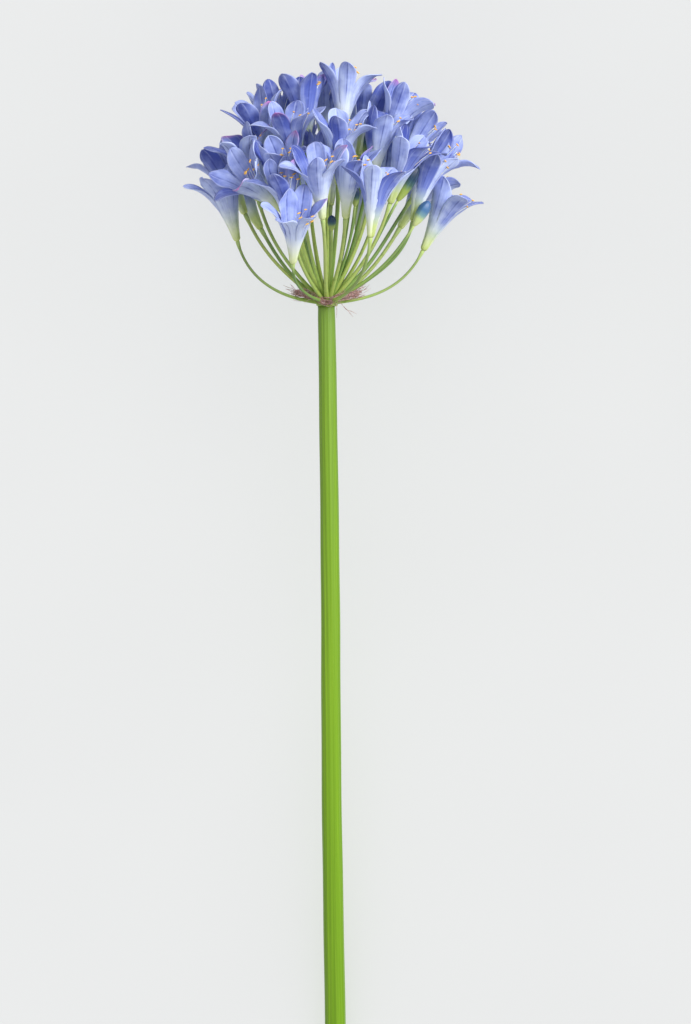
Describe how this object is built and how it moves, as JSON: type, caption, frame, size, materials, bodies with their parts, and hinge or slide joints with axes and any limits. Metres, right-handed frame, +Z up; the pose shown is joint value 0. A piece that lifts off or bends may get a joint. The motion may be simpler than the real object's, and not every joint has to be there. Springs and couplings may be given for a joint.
{
  "type": "agapanthus flower stem",
  "caption": "Cut agapanthus stem lying down: a long leafless green scape with a round head of blue trumpet blooms on arching stalks, closed buds and a dry bract ring.",
  "frame": {"origin": "middle of the surface area that the lying stem covers, on the surface it lies on", "axes": "+Y along the scape from the cut end to the flower head, +Z up from the surface, +X across"},
  "size_m": [0.1778, 0.6196, 0.1597],
  "materials": {
    "scape": "smooth green skin with faint lengthwise ridges",
    "pedicel": "matt green skin",
    "bract": "dry reddish-brown threads",
    "tepal": "matt periwinkle blue with a darker midrib and a pale green foot",
    "bud": "dark blue-green skin with a yellow-green foot"
  },
  "bodies": {
    "root": {"scape": "scape", "pedicels": "pedicel", "bract_ring": "bract", "bloom_01": "tepal", "bloom_02": "tepal", "bloom_03": "tepal", "bloom_04": "tepal", "bloom_05": "tepal", "bloom_06": "tepal", "bloom_07": "tepal", "bloom_08": "tepal", "bloom_09": "tepal", "bloom_10": "tepal", "bloom_11": "tepal", "bloom_12": "tepal", "bloom_13": "tepal", "bloom_14": "tepal", "bloom_15": "tepal", "bloom_16": "tepal", "bloom_17": "tepal", "bloom_18": "tepal", "bloom_19": "tepal", "bloom_20": "tepal", "bloom_21": "tepal", "bloom_22": "tepal", "bloom_23": "tepal", "bloom_24": "tepal", "bloom_25": "tepal", "bloom_26": "tepal", "bloom_27": "tepal", "bloom_28": "tepal", "bloom_29": "tepal", "bloom_30": "tepal", "bloom_31": "tepal", "bloom_32": "tepal", "bloom_33": "tepal", "bloom_34": "tepal", "bloom_35": "tepal", "bud_01": "bud", "bud_02": "bud", "bud_03": "bud", "bud_04": "bud", "bud_05": "bud", "bud_06": "bud", "bud_07": "bud", "bud_08": "bud"}
  },
  "joints": []
}
